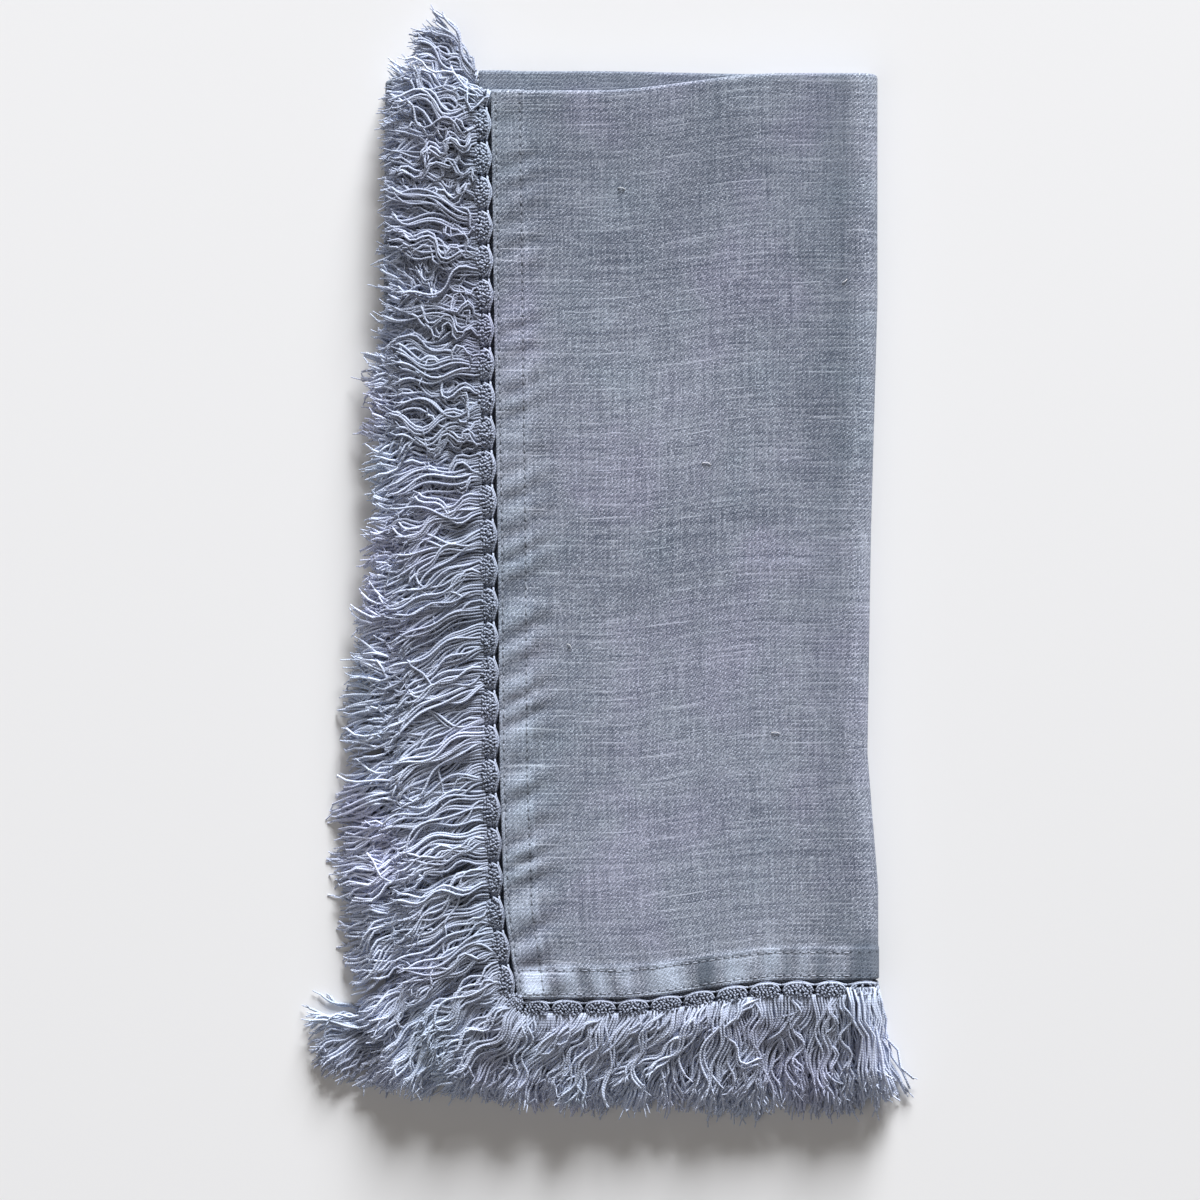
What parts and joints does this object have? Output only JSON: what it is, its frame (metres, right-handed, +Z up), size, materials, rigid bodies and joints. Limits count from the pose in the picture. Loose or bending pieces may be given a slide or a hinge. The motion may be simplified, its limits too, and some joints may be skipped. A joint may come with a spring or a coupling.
{
  "type": "folded fringed cloth napkin",
  "caption": "Square linen napkin with a knotted tassel fringe on its hemmed edges, folded in half three times into a flat rectangle of eight layers.",
  "frame": {"origin": "middle of the bounding box, on the flat underside", "axes": "+X runs from the fringed side edges to the folded right side, +Y from the fringed lower edges to the top folds, +Z up through the layers"},
  "size_m": [0.1462, 0.276, 0.0108],
  "materials": {
    "linen": "slate-blue stone-washed linen, plain weave with slubs, matt",
    "fringe": "slate-blue plied cotton yarn in knotted tassels, matt"
  },
  "bodies": {
    "root": {"linen_cloth": "linen", "fringe_side_front": "fringe", "fringe_side_back": "fringe", "fringe_end_front": "fringe", "fringe_end_back": "fringe"}
  },
  "joints": []
}
